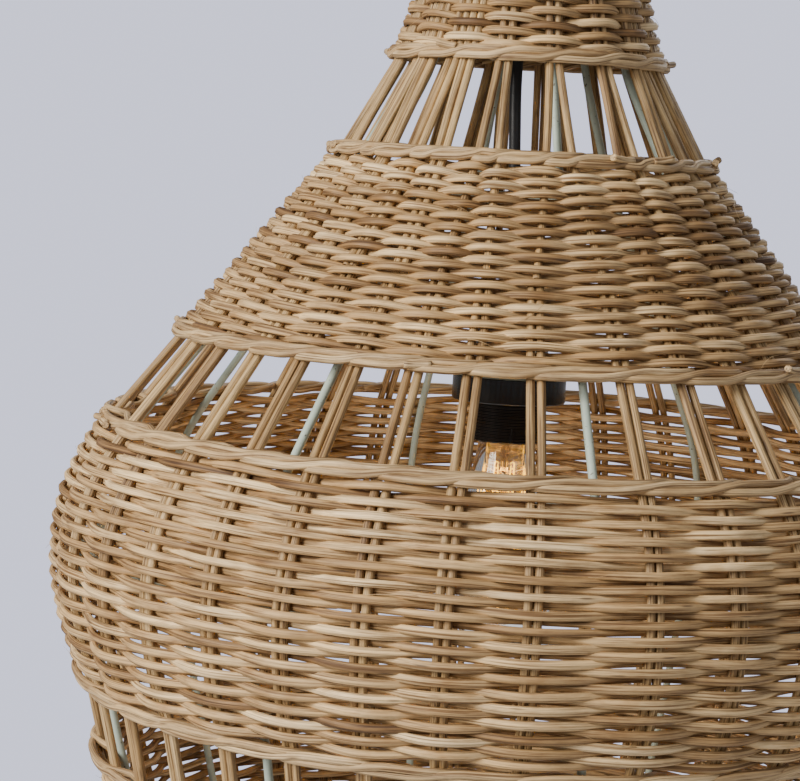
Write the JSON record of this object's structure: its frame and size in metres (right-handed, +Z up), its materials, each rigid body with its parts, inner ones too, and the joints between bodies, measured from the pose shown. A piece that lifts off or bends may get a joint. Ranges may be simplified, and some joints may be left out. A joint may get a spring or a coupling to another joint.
{
  "type": "pendant ceiling light",
  "caption": "Woven rattan pendant light: banded bell shade on a painted steel frame, hung by a black flex from a ceiling rose over a screw-in filament bulb.",
  "frame": {"origin": "middle of the bracket's upper face, which lies on the ceiling", "axes": "+Z up out of the ceiling face, so the light hangs along -Z; +X to the right seen from the front, where the front is -Y"},
  "size_m": [0.4981, 0.4982, 0.7005],
  "materials": {
    "bracket_steel": "zinc plated",
    "cup_paint": "satin black powder coat",
    "brass": "plain brass",
    "cream_plastic": "moulded",
    "grip_plastic": "black nylon",
    "flex_sheath": "black PVC sheath",
    "core_sheath": "brown core insulation",
    "bakelite": "black phenolic, moulded",
    "nickel": "nickel plated brass",
    "frame_paint": "pale grey green paint",
    "stake_rattan": "bare rattan core, long grain",
    "weave_rattan": "bare rattan core, woven",
    "border_rattan": "bare rattan core, twisted",
    "vitrite": "black glass insulator",
    "solder": "solder",
    "cap_brass": "bulb cap",
    "bulb_glass": "clear glass, lit warm",
    "stem_glass": "lead glass stem",
    "support_wire": "molybdenum wire",
    "filament": "glowing filament"
  },
  "bodies": {
    "root": {"ceiling_bracket": "bracket_steel", "rose_cup": "cup_paint", "cup_screws": "brass", "terminal_block": "cream_plastic", "terminal_inserts": "brass", "terminal_screws": "brass", "cord_grip": "grip_plastic", "grip_nut": "bracket_steel", "grip_lock_screw": "grip_plastic", "flex_tail": "flex_sheath", "flex_tail_cores": "core_sheath"},
    "hanging_flex": {"flex": "flex_sheath"},
    "lower_grip": {"lower_grip": "grip_plastic", "lower_grip_nut": "bracket_steel", "lower_lock_screw": "grip_plastic", "holder_flex_tail": "flex_sheath"},
    "lampholder": {"holder_cap": "bakelite", "holder_skirt": "bakelite", "holder_core": "cream_plastic", "screw_shell": "nickel", "centre_contact": "brass", "side_contact": "brass", "holder_terminal_screws": "brass", "holder_cores": "core_sheath"},
    "shade": {"spider_ring": "frame_paint", "spider_arms": "frame_paint", "frame_rods": "frame_paint", "top_hoop": "frame_paint", "shoulder_hoop": "frame_paint", "belly_hoop": "frame_paint", "hem_hoop": "frame_paint", "upper_stakes": "stake_rattan", "lower_stakes_front": "stake_rattan", "lower_stakes_right": "stake_rattan", "lower_stakes_back": "stake_rattan", "lower_stakes_left": "stake_rattan", "neck_weave": "weave_rattan", "shoulder_weave": "weave_rattan", "belly_weave": "weave_rattan", "hem_weave": "weave_rattan", "neck_top_border": "border_rattan", "neck_foot_border": "border_rattan", "shoulder_top_border": "border_rattan", "shoulder_foot_border": "border_rattan", "belly_top_border": "border_rattan", "belly_foot_border": "border_rattan", "hem_top_border": "border_rattan", "hem_foot_border": "border_rattan"},
    "shade_ring": {"shade_ring": "bakelite"},
    "bulb_travel": {"bulb_insulator": "vitrite", "bulb_tip": "solder"},
    "bulb": {"bulb_cap": "cap_brass", "bulb_glass": "bulb_glass", "bulb_stem": "stem_glass", "filament_supports": "support_wire", "filament": "filament"}
  },
  "joints": [
    {"name": "swing", "type": "hinge", "parent": "root", "child": "hanging_flex", "pos_m": [0, 0, -0.038], "axis": [0, 1, 0], "range_deg": [-20, 20]},
    {"name": "rock", "type": "hinge", "parent": "hanging_flex", "child": "lower_grip", "pos_m": [0, 0, -0.351], "axis": [1, 0, 0], "range_deg": [-6, 6]},
    {"name": "twist", "type": "hinge", "parent": "lower_grip", "child": "lampholder", "pos_m": [0, 0, -0.351], "axis": [0, 0, 1], "range_deg": [-180, 180]},
    {"name": "shade_travel", "type": "slide", "parent": "lampholder", "child": "shade", "axis": [0, 0, -1], "range_m": [0, 0.0245]},
    {"name": "shade_ring_turn", "type": "hinge", "parent": "shade", "child": "shade_ring", "pos_m": [0, 0, -0.408], "axis": [0, 0, 1], "range_deg": [0, 5041]},
    {"name": "bulb_out", "type": "slide", "parent": "lampholder", "child": "bulb_travel", "axis": [0, 0, -1], "range_m": [0, 0.02177]},
    {"name": "bulb_turn", "type": "hinge", "parent": "bulb_travel", "child": "bulb", "pos_m": [0, 0, -0.42], "axis": [0, 0, 1], "range_deg": [0, 2161]}
  ],
  "couplings": [
    {"joint": "shade_ring_turn", "follows": "shade_travel", "rad_per_m": 3590.4},
    {"joint": "bulb_turn", "follows": "bulb_out", "rad_per_m": 1731.4}
  ]
}
